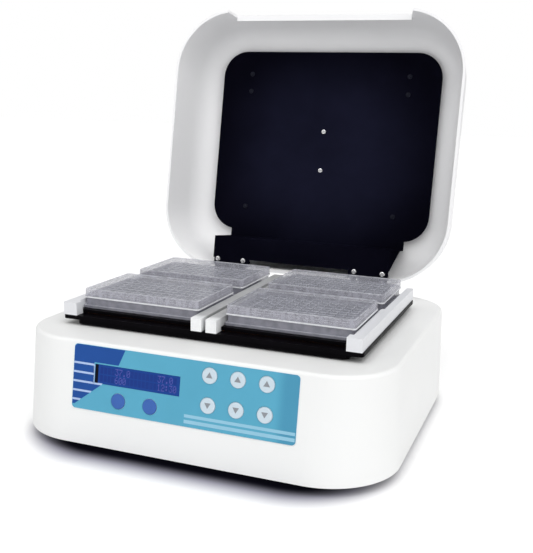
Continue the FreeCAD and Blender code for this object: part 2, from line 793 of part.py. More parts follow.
def make_lid_shell():
    outer = lid_body(0, 0, lid_height, lid_top_edge_r)
    inner = lid_body(lid_wall, -1, lid_height - lid_wall, lid_top_edge_r - lid_wall)
    shell = outer.cut(inner)
    rim_front = axis_y + axis_from_rear - lid_depth
    wide = notch_half_width
    slim = notch_half_width - notch_slant
    ring = [Vector(x, rim_front - 5, rim_z + up) for x, up in
            ((-wide, -1), (wide, -1), (slim, notch_height), (-slim, notch_height))]
    notch = Part.Face(Part.makePolygon(ring + ring[:1])).extrude(Vector(0, 25, 0))
    grip_front = rim_front + lid_draft * notch_height / lid_height
    grip = box(-slim, slim, rim_front - 5, grip_front + grip_depth, rim_z + notch_height,
               rim_z + notch_height + grip_height)
    shell = fuse([shell.cut(notch), grip.common(outer)])
    slots = []
    for sx in (-1, 1):
        x0, x1 = sorted((sx * (hinge_x - arm_outer - slot_margin), sx * (hinge_x + arm_outer + slot_margin)))
        slots.append(lid_box(x0, x1, -axis_from_rear - 1, arm_boss_r + 2, -1, slot_height))
    shell = cut(shell, slots)
    top = rim_z + lid_height - lid_wall
    back = rim_z + panel_above_rim + sheet
    bosses = [rod(x, axis_y - near, back, top + 0.5, boss_r) for x, near in liner_screw_places()]
    parts["lid_shell"] = fuse([shell] + bosses)


def make_liner():
    z = rim_z + panel_above_rim
    panel = slab(-panel_half_width, panel_half_width, axis_y - panel_far, axis_y - panel_near,
                 panel_corner_r, z, z + sheet)
    neck = lid_box(-neck_half_width, neck_half_width, neck_near, panel_near + panel_corner_r,
                   panel_above_rim, panel_above_rim + sheet)
    low = rim_z + leaf_above_rim
    y_far = axis_y - leaf_far
    y_neck = axis_y - neck_near
    ends = []
    for half, y, height in ((neck_half_width, y_neck, z + sheet), (leaf_half_width, y_far, low)):
        ring = [Vector(-half, y - sheet, height), Vector(half, y - sheet, height), Vector(half, y, height),
                Vector(-half, y, height)]
        ends.append(Part.makePolygon(ring + ring[:1]))
    shelf = loft(*ends)
    leaf = lid_box(-leaf_half_width, leaf_half_width, leaf_near, leaf_far, leaf_above_rim,
                   leaf_above_rim + sheet)
    tabs = [lid_box(tab_inner, tab_outer, tab_near, leaf_near, leaf_above_rim, leaf_above_rim + sheet),
            lid_box(-tab_outer, -tab_inner, tab_near, leaf_near, leaf_above_rim, leaf_above_rim + sheet)]
    cheek = prism_x([(y_neck, z), (y_far, low), (axis_y - leaf_near, low)],
                    leaf_half_width - sheet, leaf_half_width)
    parts["lid_liner"] = fuse([panel, neck, shelf, leaf, cheek, mirrored(cheek)] + tabs)
    back = panel_above_rim + sheet
    half = panel_half_width - foil_inset
    near0, near1 = panel_near + foil_inset, panel_far - foil_inset
    holes = [rod(x, axis_y - near, 0, 3 * lid_height + rim_z, boss_r + 1) for x, near in liner_screw_places()]
    foil = lid_box(-half, half, near0, near1, back, back + heater_foil)
    parts["lid_heater"] = cut(foil, holes)
    foam = lid_box(-half, half, near0, near1, back + heater_foil, lid_height - lid_wall)
    parts["lid_insulation"] = cut(foam, holes)


def make_lid_screws():
    screws = []
    for x, near in liner_screw_places():
        head = rod(x, axis_y - near, rim_z + panel_above_rim - liner_screw_head_height,
                   rim_z + panel_above_rim, liner_screw_head_r)
        screws.append(head)
    for sx in (-1, 1):
        for spread in (-1, 1):
            x = sx * (hinge_x + spread * tab_screw_spread)
            head = rod(x, axis_y - tab_screw_near, rim_z + leaf_above_rim - tab_screw_head_height,
                       rim_z + leaf_above_rim, tab_screw_head_r)
            screws.append(head)
    parts["lid_screws"] = Part.makeCompound(screws)


def make_hinges():
    brackets = []
    pins = []
    leaves = []
    y_back = rear_y(deck_z) - top_edge_r
    for sx in (-1, 1):
        x0 = sx * hinge_x - bracket_half_width
        x1 = sx * hinge_x + bracket_half_width
        stem = box(x0, x1, y_back - bracket_thickness, y_back, deck_z, axis_z)
        barrel = rod_x(axis_y, axis_z, x0, x1, barrel_r)
        bridge = box(x0, x1, axis_y, y_back, axis_z - 3, axis_z + barrel_r)
        bracket = fuse([stem, barrel, bridge])
        crown = [e for e in bracket.Edges if e.BoundBox.XLength > 20
                 and abs(e.BoundBox.ZMin - axis_z - barrel_r) < 1e-3 and abs(e.BoundBox.YMin - y_back) < 1e-3]
        bracket = bracket.makeFillet(3, crown)
        bracket = bracket.cut(rod_x(axis_y, axis_z, x0 - 1, x1 + 1, hinge_pin_r))
        brackets.append(bracket)
        pins.append(rod_x(axis_y, axis_z, sx * hinge_x - arm_outer - 1, sx * hinge_x + arm_outer + 1,
                          hinge_pin_r))
        leaf_up = leaf_above_rim + sheet
        plate = lid_box(sx * hinge_x - arm_outer, sx * hinge_x + arm_outer, lid_leaf_near, lid_leaf_far,
                        leaf_up, leaf_up + lid_leaf_thickness)
        pieces = [plate]
        for side in (-1, 1):
            a0, a1 = sorted((sx * hinge_x + side * arm_inner, sx * hinge_x + side * arm_outer))
            web = prism_x([(axis_y - 22, rim_z + leaf_up), (axis_y - 1, rim_z + leaf_up),
                           (axis_y + 3, axis_z), (axis_y - 4, axis_z + 3)], a0, a1)
            boss = rod_x(axis_y, axis_z, a0, a1, arm_boss_r)
            pieces += [web, boss]
        leaf = fuse(pieces).cut(rod_x(axis_y, axis_z, sx * hinge_x - 40, sx * hinge_x + 40,
                                      hinge_pin_r + shaft_clearance))
        leaves.append(leaf)
    parts["hinge_brackets"] = Part.makeCompound(brackets)
    parts["hinge_pins"] = Part.makeCompound(pins)
    parts["hinge_lid_leaves"] = Part.makeCompound(leaves)


lid_nodes = ["lid_shell", "lid_liner", "lid_heater", "lid_insulation", "lid_screws", "hinge_lid_leaves"]


def open_lid():
    for name in lid_nodes:
        shape = parts[name].copy()
        shape.rotate(Vector(0, axis_y, axis_z), Vector(1, 0, 0), -lid_open_angle)
        parts[name] = shape


def machine_shift():
    """How far back the middle of the whole machine's box lies, with the lid open."""
    rear = parts["lid_shell"].optimalBoundingBox(False).YMax
    return (rear - half_d) / 2


def main():
    make_base_shell()
    make_pan()
    make_controls()
    make_drive_frame()
    make_drive()
    make_electronics()
    make_rear_panel()
    make_platform()
    make_rails()
    make_plates()
    make_lid_shell()
    make_liner()
    make_lid_screws()
    make_hinges()
    open_lid()
    shift = machine_shift()
    print("shift in Y: %.4f" % -shift)
    os.makedirs("parts", exist_ok=True)
    for name, shape in parts.items():
        shape = shape.copy()
        shape.translate(Vector(0, -shift, 0))
        if not shape.isValid():
            print("not valid:", name)
        shape.exportStep("parts/%s.step" % name)
        print(name, len(shape.Solids), "solids", len(shape.Faces), "faces %.0f mm3" % shape.Volume)


main()
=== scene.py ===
"""Looks for the microplate shaker incubator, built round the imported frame.

Places come from the frame's own pieces. Sizes are in millimetres and become metres in to_metres().
On the leaning front a height, h, is measured up the slope from its foot.
"""
import json
import math

import bpy
from mathutils import Matrix, Vector


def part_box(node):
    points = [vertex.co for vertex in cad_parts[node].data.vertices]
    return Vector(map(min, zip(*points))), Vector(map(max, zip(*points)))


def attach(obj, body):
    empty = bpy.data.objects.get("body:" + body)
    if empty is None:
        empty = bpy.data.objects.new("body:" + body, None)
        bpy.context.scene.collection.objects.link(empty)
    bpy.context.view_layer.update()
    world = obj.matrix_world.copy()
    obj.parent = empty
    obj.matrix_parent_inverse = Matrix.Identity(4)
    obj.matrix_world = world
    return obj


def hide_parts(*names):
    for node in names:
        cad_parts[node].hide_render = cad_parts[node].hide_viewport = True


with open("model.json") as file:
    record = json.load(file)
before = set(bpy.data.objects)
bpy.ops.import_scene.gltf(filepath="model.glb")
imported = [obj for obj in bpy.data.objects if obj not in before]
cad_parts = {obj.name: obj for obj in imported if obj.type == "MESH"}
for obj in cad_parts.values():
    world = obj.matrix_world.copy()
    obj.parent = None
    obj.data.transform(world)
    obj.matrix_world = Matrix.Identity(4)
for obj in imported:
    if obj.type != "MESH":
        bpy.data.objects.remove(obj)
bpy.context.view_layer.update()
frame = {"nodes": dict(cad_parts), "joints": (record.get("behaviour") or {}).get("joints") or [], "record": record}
cad_nodes = frame["nodes"]

mm = 0.001

# Front of the base
foot_height = 8.0
front_set_back, front_height = 14.0, 96.0
front_lean = math.atan2(front_set_back, front_height)

# Film and its print, as heights out of the front
film_top = 0.6
print_low, print_high = film_top + 0.005, film_top + 0.03
print_margin = 0.25

# Keys: how far they stand out and reach in, and what is printed on and round them
key_top, key_root = 1.3, 4.5
key_ring_inner, key_ring_outer = 7.45, 7.9
arrow_half_width, arrow_foot, arrow_tip = 3.1, 2.2, 3.0
arrow_low, arrow_high = key_top + 0.004, key_top + 0.03

# Dark block, light stripes and the diagonal that ends them on the left of the panel
block_right_x, block_low_h, block_slope, block_corner = -57.4, 78.6, 0.42, 2.5
stripe_count, stripe_pitch, stripe_width, stripe_top_h = 5, 8.6, 1.9, 76.2
# The upper stripes, and the dark fields above them, that end at the display
stripes_to_display, fields_to_display = 2, 3
stripe_slant_low, stripe_slant_high = 0.8, 0.4
bar_left, bar_right, bar_drop = 0.6, 0.7, 1
display_edge_x = -89.0
diagonal_top_x, diagonal_top_h, diagonal_slope = -80.5, 58.5, 1.3
dark_low_h = 37.2

# Pale stripes under the white keys
pale_stripes = ((41.7, 44.5), (36.4, 39.6))
pale_stripe_left, pale_stripe_gap = 5.2, 0.4

# Display
window_sill = 0.45
display_mask, mask_gap = 3.4, 0.2
display_left_gap, display_right_gap, display_top_gap, display_spare = 2.0, 2.5, 2.0, 3.0
display_columns = 20
display_rows = ("    37.0       37.0 ", "    600        12:30")
figure_width, figure_height = 5, 7
cell_share_across, cell_share_up, dot_share = 0.84, 0.86, 0.9
cell_high, dot_low, dot_high = print_low + 0.01, print_low + 0.012, print_low + 0.02

# Microplates
well_pitch = 9.0
well_rows, well_columns = 8, 12
well_top_r, well_mouth_r, well_floor_r = 3.8, 3.45, 3.2
well_depth = 10.7
well_rise = 0.5
well_sides = 18
well_lip = 0.15
skirt_height, skirt_step = 2.6, 1.9
plate_draft, plate_edge, plate_edge_inset = 0.3, 0.3, 0.6
plate_corner = 2.4

# Liner screws, as (across, forward of the hinge axis, above the rim) in the closed lid
axis_above_rim = 17.4
lid_angle = math.radians(100)
panel_up = 67.9
tab_up = 9.5
dark_screws = ((-104.0, 248.0), (104.0, 248.0), (-104.0, 226.0), (104.0, 226.0),
               (-99.0, 76.0), (99.0, 76.0))
bright_screws = ((0.0, 177.0), (0.0, 128.0))
tab_screw_near = 5.7
hinge_x, tab_spread = 88.7, 17.1
panel_screw_r, panel_screw_height = 3.0, 1.2
tab_screw_r, tab_screw_height = 3.2, 1.6

# Where a finish changes over its piece: in metres across, from the liner's middle, and in mm from the front. The
# liner's lighter, bluer middle is a painted sheen, darker farther out.
film_fade, film_fade_tint = (0.088, 0.1), (0.72, 0.78, 0.84)
liner_sheen_middle_near = 150
liner_sheen_fade, liner_sheen_tint = (0.05, 0.16), (0.33, 0.3, 0.3)
rail_fade, rail_fade_tint = (2, 16), (0.5, 0.5, 0.5)

# Floor with a contact shadow painted into its colour, light and camera. The floor's own size and height are in
# metres.
floor_color = 0.95
floor_glow = 0.2
floor_rough = 0.7
floor_half, floor_z = 9, -0.0005
shade_reach, shade_depth = 31.0, 16.0
shade_narrow, shade_forward = 20.0, 9.0
shade_corner = 75.0
shade_dark, shade_half = (0.009, 0.0085, 0.016), (0.31, 0.305, 0.36)
shade_half_at = 0.3
studio_strength, seen_strength = 0.43, 1.0
suns = (("right_light", (0.8, -0.45, 0.4), 0.62, 50),
        ("left_light", (-0.5, -0.6, 0.62), 0.42, 50),
        ("top_light", (0.2, -0.3, 0.93), 1.35, 60))
camera_place = (0.31407, -0.81293, 0.32281)
camera_yaw, camera_pitch, camera_roll = 0.3453, 0.2306, 0.0282
picture_width, picture_height = 533, 553
focal, centre_x, centre_y = 808.21, 285.08, 292.86
sensor = 36


def to_metres(x, y, z):
    return Vector((x, y, z)) * mm


def box_mm(node):
    """The lowest and highest corner of a CAD piece, in millimetres."""
    low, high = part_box(node)
    return Vector(low) * 1000, Vector(high) * 1000


film_low, film_high = box_mm("control_overlay")
film_high_h = (film_high.z - foot_height - film_top * math.sin(front_lean)) / math.cos(front_lean)
front_foot_y = box_mm("base_shell")[0].y
lcd_low, lcd_high = box_mm("lcd_window")
lcd_low_h = (lcd_low.z - foot_height) / math.cos(front_lean) + window_sill
lcd_high_h = (lcd_high.z - foot_height - film_top * math.sin(front_lean)) / math.cos(front_lean)


def on_front(x, h, out):
    """A point on the leaning front: x across, h up the slope, out of it."""
    y = front_foot_y + h * math.sin(front_lean) - out * math.cos(front_lean)
    return to_metres(x, y, foot_height + h * math.cos(front_lean) + out * math.sin(front_lean))


hinge_joint = next(joint for joint in frame["joints"] if joint["name"] == "lid_hinge")
hinge_y, hinge_z = [1000 * value for value in hinge_joint["pos_m"][1:]]


def in_lid(x, near, up):
    """A point given as in the closed lid, moved to where it lies in the open one."""
    y, z = -near, up - axis_above_rim
    back = y * math.cos(lid_angle) + z * math.sin(lid_angle)
    high = -y * math.sin(lid_angle) + z * math.cos(lid_angle)
    return to_metres(x, hinge_y + back, hinge_z + high)


def key_place(node):
    """The middle of a key's face: across, and up the slope."""
    low, high = box_mm(node)
    middle = (high.z + low.z) / 2
    tall = (key_top + key_root) * math.sin(front_lean)
    face = middle + tall / 2 - foot_height - key_top * math.sin(front_lean)
    return (low.x + high.x) / 2, face / math.cos(front_lean)


# Materials

cloud_detail, grain_detail = 4.0, 2.0
worn_share = 0.15
worn_low, worn_high = 0.3, 0.7
worn_finer = 3
grain_depth = 0.0002
coat_rough = 0.1


def shader_of(mat):
    mat.use_nodes = True
    return mat.node_tree, mat.node_tree.nodes["Principled BSDF"]


def texture(tree, scale, detail, stretch):
    coords = tree.nodes.new("ShaderNodeTexCoord")
    mapping = tree.nodes.new("ShaderNodeMapping")
    mapping.inputs["Scale"].default_value = stretch
    noise = tree.nodes.new("ShaderNodeTexNoise")
    noise.inputs["Scale"].default_value = scale
    noise.inputs["Detail"].default_value = detail
    tree.links.new(coords.outputs["Object"], mapping.inputs["Vector"])
    tree.links.new(mapping.outputs["Vector"], noise.inputs["Vector"])
    return noise.outputs["Fac"]


def surface(name, color, rough, spread=0.02, scale=14.0, grain=0.1, grain_scale=1500.0, metal=0.0,
            gloss=0.5, coat=0.0, alpha=1.0, stretch=(1, 1, 1), contrast=0.2):
    """A finish whose colour varies by spread over clouds of this scale, with worn patches and a grain."""
    mat = bpy.data.materials.new(name)
    tree, shader = shader_of(mat)
    shader.inputs["Metallic"].default_value = metal
    shader.inputs["Specular IOR Level"].default_value = gloss
    shader.inputs["Coat Weight"].default_value = coat
    shader.inputs["Coat Roughness"].default_value = coat_rough
    shader.inputs["Alpha"].default_value = alpha
    broad = texture(tree, scale, cloud_detail, stretch)
    ramp = tree.nodes.new("ShaderNodeValToRGB")
    for element, place, factor in zip(ramp.color_ramp.elements, (0.5 - contrast, 0.5 + contrast),
                                      (1 - spread, 1 + spread)):
        element.position = place
        element.color = (*[min(channel * factor, 1.0) for channel in color], 1)
    tree.links.new(broad, ramp.inputs["Fac"])
    tree.links.new(ramp.outputs["Color"], shader.inputs["Base Color"])
    worn = tree.nodes.new("ShaderNodeMapRange")
    worn.inputs["From Min"].default_value = worn_low
    worn.inputs["From Max"].default_value = worn_high
    worn.inputs["To Min"].default_value = rough * (1 - worn_share)
    worn.inputs["To Max"].default_value = min(rough * (1 + worn_share), 1.0)
    tree.links.new(texture(tree, scale * worn_finer, cloud_detail, stretch), worn.inputs["Value"])
    tree.links.new(worn.outputs["Result"], shader.inputs["Roughness"])
    bump = tree.nodes.new("ShaderNodeBump")
    bump.inputs["Strength"].default_value = grain
    bump.inputs["Distance"].default_value = grain_depth
    tree.links.new(texture(tree, grain_scale, grain_detail, stretch), bump.inputs["Height"])
    tree.links.new(bump.outputs["Normal"], shader.inputs["Normal"])
    return mat


# Numbers after a colour: roughness, spread of the colour, scale of its clouds, grain, scale of the grain
finishes = {
    "housing": surface("housing_white", (0.9, 0.905, 0.9), 0.35, 0.006, 9, 0.05, 1400, gloss=0.3),
    "foot_rubber": surface("foot_rubber", (0.03, 0.03, 0.032), 0.75, 0.15, 60, 0.35),
    # The pan under the base is near black as painted shade beneath the base.
    "pan_steel": surface("pan_black_painted_shade", (0.008, 0.008, 0.012), 0.6, 0.06, 40, 0.3, gloss=0.2),
    "overlay_film": surface("film_cyan", (0.105, 0.4, 0.57), 0.35, 0.03, 20, 0.05, gloss=0.15),
    "lcd": surface("lcd_blue", (0.016, 0.06, 0.28), 0.2, 0.03, 30, 0.02, gloss=0.05),
    "board": surface("board_green", (0.03, 0.13, 0.06), 0.45, 0.08, 90),
    "key_white": surface("key_white", (0.6, 0.71, 0.79), 0.3, 0.01, 80, 0.05, 2500, coat=0.2),
    "key_blue": surface("key_blue", (0.055, 0.138, 0.44), 0.35, 0.05, 80, 0.08, 2500, gloss=0.1),
    "steel": surface("turned_steel", (0.55, 0.55, 0.57), 0.32, 0.05, 120, 0.1, 2500, metal=1.0),
    "bright_steel": surface("bright_steel", (0.85, 0.85, 0.86), 0.22, 0.03, 200, 0.06, 3000, metal=1.0),
    "motor_metal": surface("cast_metal", (0.42, 0.43, 0.45), 0.42, 0.06, 80, 0.2, 1800, metal=1.0),
    "belt_rubber": surface("belt_rubber", (0.02, 0.02, 0.02), 0.7, 0.1, 90, 0.3),
    "black_anodised": surface("black_anodised", (0.0025, 0.002, 0.003), 0.35, 0.2, 30, 0.12, 2600,
                              gloss=0.03),
    "heater_film": surface("heater_film", (0.35, 0.12, 0.03), 0.4, 0.08, 60),
    "rail_white": surface("rail_white", (0.8, 0.81, 0.84), 0.38, 0.012, 30, 0.1),
    "black_sheet": surface("black_sheet", (0.0098, 0.0104, 0.0235), 0.4, 0.2, 12, 0.1, 2200, gloss=0.0),
    "foam": surface("foam", (0.12, 0.12, 0.13), 0.9, 0.1, 200, 0.6, 900),
    "black_plastic": surface("black_plastic", (0.012, 0.012, 0.013), 0.42, 0.12, 60, 0.3, 1800, gloss=0.35),
    "zinc_steel": surface("zinc_steel", (0.62, 0.63, 0.65), 0.35, 0.05, 150, 0.1, 2500, metal=1.0),
    "clear_plastic": surface("clear_body", (0.5, 0.5, 0.58), 0.2, 0.12, 120, 0.2, 900,
                             alpha=0.5, contrast=0.12),
}
clear_well = surface("clear_well", (0.48, 0.49, 0.56), 0.16, 0.15, 200, 0.2, 900, alpha=0.55, contrast=0.12)
# Painted highlight: the plates' edges are lighter and more solid than the clear body.
clear_edge_painted_highlight = surface("clear_edge_painted_highlight", (0.66, 0.67, 0.73), 0.16, 0.12, 150, 0.1, 900, alpha=0.8, contrast=0.12)
cover_top = surface("cover_top", (0.55, 0.56, 0.62), 0.12, 0.2, 130, 0.2, 500, alpha=0.34, contrast=0.12)
cover_wall = surface("cover_wall", (0.6, 0.6, 0.67), 0.14, 0.18, 260, 0.2, 900, alpha=0.34,
                     stretch=(1, 1, 0.15), contrast=0.12)
# Painted highlights: the covers' edges are more solid than their walls, and their rim is near white.
cover_edge_painted_highlight = surface("cover_edge_painted_highlight", (0.6, 0.61, 0.66), 0.14, 0.25, 150, 0.1, 900, alpha=0.6, contrast=0.1)
cover_rim_painted_highlight = surface("cover_rim_painted_highlight", (0.84, 0.85, 0.88), 0.14, 0.08, 200, 0.1, 900, alpha=0.95)
ink_dark = surface("ink_dark_blue", (0.022, 0.085, 0.33), 0.35, 0.04, 30, 0.05, gloss=0.05)
ink_white = surface("ink_white", (0.42, 0.55, 0.82), 0.4, 0.03, 30, 0.05)
ink_pale = surface("ink_pale", (0.31, 0.58, 0.74), 0.35, 0.03, 30, 0.05, gloss=0.1)
ink_grey = surface("ink_grey", (0.26, 0.28, 0.31), 0.45, 0.03, 80, 0.05)
ink_black = surface("ink_black", (0.002, 0.002, 0.005), 0.3, 0.1, 40, 0.05, gloss=0.1)
ink_ring = surface("ink_ring", (0.12, 0.36, 0.5), 0.35, 0.03, 30, 0.05, gloss=0.3)
lcd_cell = surface("lcd_cell", (0.016, 0.045, 0.24), 0.25, 0.03, 60, 0.02, gloss=0.05)
lcd_dot = surface("lcd_dot", (0.1, 0.11, 0.42), 0.3, 0.03, 60, 0.02, gloss=0.05)
dark_screw = surface("dark_screw", (0.01, 0.011, 0.02), 0.4, 0.05, 200, 0.06, 3000, gloss=0.1)


def tint_where(mat, factor, tint):
    """Multiplies a finish by a tint where the factor is 1. Sockets 6 and 7 and output 2 are the colours."""
    tree = mat.node_tree
    target = tree.nodes["Principled BSDF"].inputs["Base Color"]
    mix = tree.nodes.new("ShaderNodeMix")
    mix.data_type, mix.blend_type = "RGBA", "MULTIPLY"
    tree.links.new(factor, mix.inputs["Factor"])
    tree.links.new(target.links[0].from_socket, mix.inputs[6])
    mix.inputs[7].default_value = (*tint, 1)
    tree.links.new(mix.outputs[2], target)


def ramped(mat, value, start, end):
    """0 where the value is below start and 1 above end, smoothly."""
    node = mat.node_tree.nodes.new("ShaderNodeMapRange")
    node.inputs["From Min"].default_value = start
    node.inputs["From Max"].default_value = end
    node.interpolation_type = "SMOOTHSTEP"
    mat.node_tree.links.new(value, node.inputs["Value"])
    return node.outputs["Result"]


def coordinate(mat, axis):
    """The place along one axis of the piece."""
    coords = mat.node_tree.nodes.new("ShaderNodeTexCoord")
    split = mat.node_tree.nodes.new("ShaderNodeSeparateXYZ")
    mat.node_tree.links.new(coords.outputs["Object"], split.inputs["Vector"])
    return split.outputs[axis]


def distance_from(mat, place):
    """The distance from a place, in metres."""
    coords = mat.node_tree.nodes.new("ShaderNodeTexCoord")
    measure = mat.node_tree.nodes.new("ShaderNodeVectorMath")
    measure.operation = "DISTANCE"
    measure.inputs[1].default_value = place
    mat.node_tree.links.new(coords.outputs["Object"], measure.inputs[0])
    return measure.outputs["Value"]


film = finishes["overlay_film"]
tint_where(film, ramped(film, coordinate(film, "X"), *film_fade), film_fade_tint)
# Painted sheen: the black liner is lighter and bluer at its middle and darker away from it.
sheet = finishes["black_sheet"]
liner_sheen_middle = in_lid(0, liner_sheen_middle_near, panel_up)
tint_where(sheet, ramped(sheet, distance_from(sheet, liner_sheen_middle), *liner_sheen_fade), liner_sheen_tint)
rail_front_y = box_mm("centre_rails")[0].y
inner_rail = surface("inner_rail", (0.93, 0.94, 0.96), 0.38, 0.06, 160, 0.1)
rail_fade_y = [(rail_front_y + way) * mm for way in rail_fade]
tint_where(inner_rail, ramped(inner_rail, coordinate(inner_rail, "Y"), *rail_fade_y), rail_fade_tint)
# The lid shell is a lighter white than the housing: partly whiter plastic, partly painted light on the lid's lit
# inside.
lid_white_painted_light = surface("lid_white_painted_light", (0.965, 0.965, 0.975), 0.35, 0.006, 9, 0.05, 1400, gloss=0.3)
own_finishes = {"centre_rails": inner_rail, "lid_shell": lid_white_painted_light}

for part in frame["record"]["subparts"]:
    materials = cad_nodes[part["node"]].data.materials
    materials.clear()
    materials.append(own_finishes.get(part["node"], finishes[part["material_slot"]]))


# Meshes

def piece(name, verts, faces, mats, body, slot, face_mats=None):
    mesh = bpy.data.meshes.new(name)
    mesh.from_pydata([tuple(v) for v in verts], [], faces)
    for mat in mats:
        mesh.materials.append(mat)
    if face_mats:
        mesh.polygons.foreach_set("material_index", face_mats)
    mesh.update()
    obj = bpy.data.objects.new(name, mesh)
    bpy.context.scene.collection.objects.link(obj)
    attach(obj, body)
    return obj


def joined(shapes):
    verts, faces = [], []
    for some_verts, some_faces in shapes:
        first = len(verts)
        verts += some_verts
        faces += [tuple(first + i for i in face) for face in some_faces]
    return verts, faces


def bands(first, count, levels):
    """Quads between rings of points that follow one another in the vertex list."""
    faces = []
    for level in range(levels - 1):
        a = first + level * count
        b = a + count
        faces += [(a + i, a + (i + 1) % count, b + (i + 1) % count, b + i) for i in range(count)]
    return faces


def printed(outline, low=print_low, high=print_high):
    """A thin layer on the front with this outline of (across, up the slope)."""
    count = len(outline)
    verts = [on_front(x, h, out) for out in (low, high) for x, h in outline]
    faces = [tuple(reversed(range(count))), tuple(range(count, 2 * count))] + bands(0, count, 2)
    return verts, faces


def rect(x0, x1, h0, h1):
    return [(x0, h0), (x1, h0), (x1, h1), (x0, h1)]


def circle(x, h, r, count=40):
    return [(x + r * math.cos(2 * math.pi * i / count), h + r * math.sin(2 * math.pi * i / count))
            for i in range(count)]


def rounded(x0, x1, y0, y1, r, steps=6):
    """A rectangle with rounded corners, anticlockwise."""
    points = []
    corners = ((x1 - r, y0 + r, -90), (x1 - r, y1 - r, 0), (x0 + r, y1 - r, 90), (x0 + r, y0 + r, 180))
    for cx, cy, start in corners:
        for i in range(steps + 1):
            angle = math.radians(start + 90 * i / steps)
            points.append((cx + r * math.cos(angle), cy + r * math.sin(angle)))
    return points


# Printed panel

print_left = film_low.x + print_margin
print_right = film_high.x - print_margin
print_top = film_high_h - print_margin


def diagonal_x(h):
    """Where the diagonal that ends the stripes is at this height."""
    return max(diagonal_top_x - diagonal_slope * (diagonal_top_h - h), print_left)


def make_panel():
    block_low_right = block_right_x - block_slope * (print_top - block_low_h)
    dark = [printed([(print_left, block_low_h), (block_low_right, block_low_h), (block_right_x, print_top),
                     (print_left + block_corner, print_top), (print_left, print_top - block_corner)])]
    white = []
    half = stripe_width / 2
    top = block_low_h
    for number in range(stripe_count):
        h = stripe_top_h - number * stripe_pitch
        end = display_edge_x if number < stripes_to_display else diagonal_x(h)
        if top > h + half:
            beside = number < fields_to_display
            right = display_edge_x if beside else diagonal_x(top)
            low_right = display_edge_x if beside else diagonal_x(h + half)
            dark.append(printed([(print_left, h + half), (low_right, h + half),
                                 (right, top), (print_left, top)]))
        white.append(printed([(print_left, h - half), (end - stripe_slant_low, h - half),
                              (end + stripe_slant_high, h + half), (print_left, h + half)]))
        top = h - half
    dark.append(printed([(print_left, dark_low_h), (diagonal_x(dark_low_h), dark_low_h),
                         (diagonal_x(top), top), (print_left, top)]))
    white.append(printed(rect(display_edge_x - bar_left, display_edge_x + bar_right,
                              lcd_low_h - bar_drop, stripe_top_h)))
    piece("panel_dark_print", *joined(dark), [ink_dark], "base", "overlay_film")
    piece("panel_white_print", *joined(white), [ink_white], "base", "overlay_film")
    pale = [printed(rect(pale_stripe_left, print_right - pale_stripe_gap, low, high))
            for low, high in pale_stripes]
    piece("panel_pale_print", *joined(pale), [ink_pale], "base", "overlay_film")


def make_keys():
    rings = []
    for kind, sign in (("up", 1), ("down", -1)):
        for number in (1, 2, 3):
            node = "%s_key_%d" % (kind, number)
            x, h = key_place(node)
            across, foot, tip = arrow_half_width * sign, arrow_foot * sign, arrow_tip * sign
            arrow = [(x - across, h - foot), (x + across, h - foot), (x, h + tip)]
            piece("%s_arrow_%d" % (kind, number), *printed(arrow, arrow_low, arrow_high), [ink_grey],
                  node, "key_white")
            points = circle(x, h, key_ring_outer) + circle(x, h, key_ring_inner)
            count = len(points) // 2
            rings.append(([on_front(*point, print_high) for point in points], bands(0, count, 2)))
    piece("panel_key_rings", *joined(rings), [ink_ring], "base", "overlay_film")


# Rows of dots of each figure on the display
figures = {
    "0": ("01110", "10001", "10011", "10101", "11001", "10001", "01110"),
    "1": ("00100", "01100", "00100", "00100", "00100", "00100", "01110"),
    "2": ("01110", "10001", "00001", "00110", "01000", "10000", "11111"),
    "3": ("11111", "00010", "00100", "00010", "00001", "10001", "01110"),
    "6": ("00110", "01000", "10000", "11110", "10001", "10001", "01110"),
    "7": ("11111", "00001", "00010", "00100", "01000", "01000", "01000"),
    ".": ("00000", "00000", "00000", "00000", "00000", "01100", "01100"),
    ":": ("00000", "01100", "01100", "00000", "01100", "01100", "00000"),
    " ": ("00000",) * 7,
}


def make_display():
    """Two rows of dot-matrix cells, and a black mask on the left."""
    mask = printed(rect(lcd_low.x + mask_gap, lcd_low.x + display_mask,
                        lcd_low_h + mask_gap, lcd_high_h - mask_gap))
    piece("lcd_side_mask", *mask, [ink_black], "base", "lcd")
    left = lcd_low.x + display_mask + display_left_gap
    pitch = (lcd_high.x - display_right_gap - left) / display_columns
    row_height = (lcd_high_h - lcd_low_h - display_spare) / len(display_rows)
    dot_width = pitch * cell_share_across / figure_width
    dot_height = row_height * cell_share_up / figure_height
    cells, dots = [], []
    for row, text in enumerate(display_rows):
        top = lcd_high_h - display_top_gap - row * row_height
        for column, letter in enumerate(text):
            x0 = left + column * pitch
            cell = rect(x0, x0 + figure_width * dot_width, top - figure_height * dot_height, top)
            cells.append(printed(cell, print_low, cell_high))
            for line, bits in enumerate(figures[letter]):
                for place, bit in enumerate(bits):
                    if bit == "1":
                        x, h = x0 + place * dot_width, top - line * dot_height
                        dot = rect(x, x + dot_width * dot_share, h - dot_height * dot_share, h)
                        dots.append(printed(dot, dot_low, dot_high))
    piece("lcd_cells", *joined(cells), [lcd_cell], "base", "lcd")
    piece("lcd_figures", *joined(dots), [lcd_dot], "base", "lcd")


# Microplates and their covers

def stacked(levels):
    """Rounded rectangles one above the other: (x0, x1, y0, y1, corner, z)."""
    rings = [[to_metres(px, py, z) for px, py in rounded(x0, x1, y0, y1, r)]
             for x0, x1, y0, y1, r, z in levels]
    return [point for ring in rings for point in ring], len(rings[0])


def inset(low, high, by, corner, z):
    return low.x + by, high.x - by, low.y + by, high.y - by, corner, z


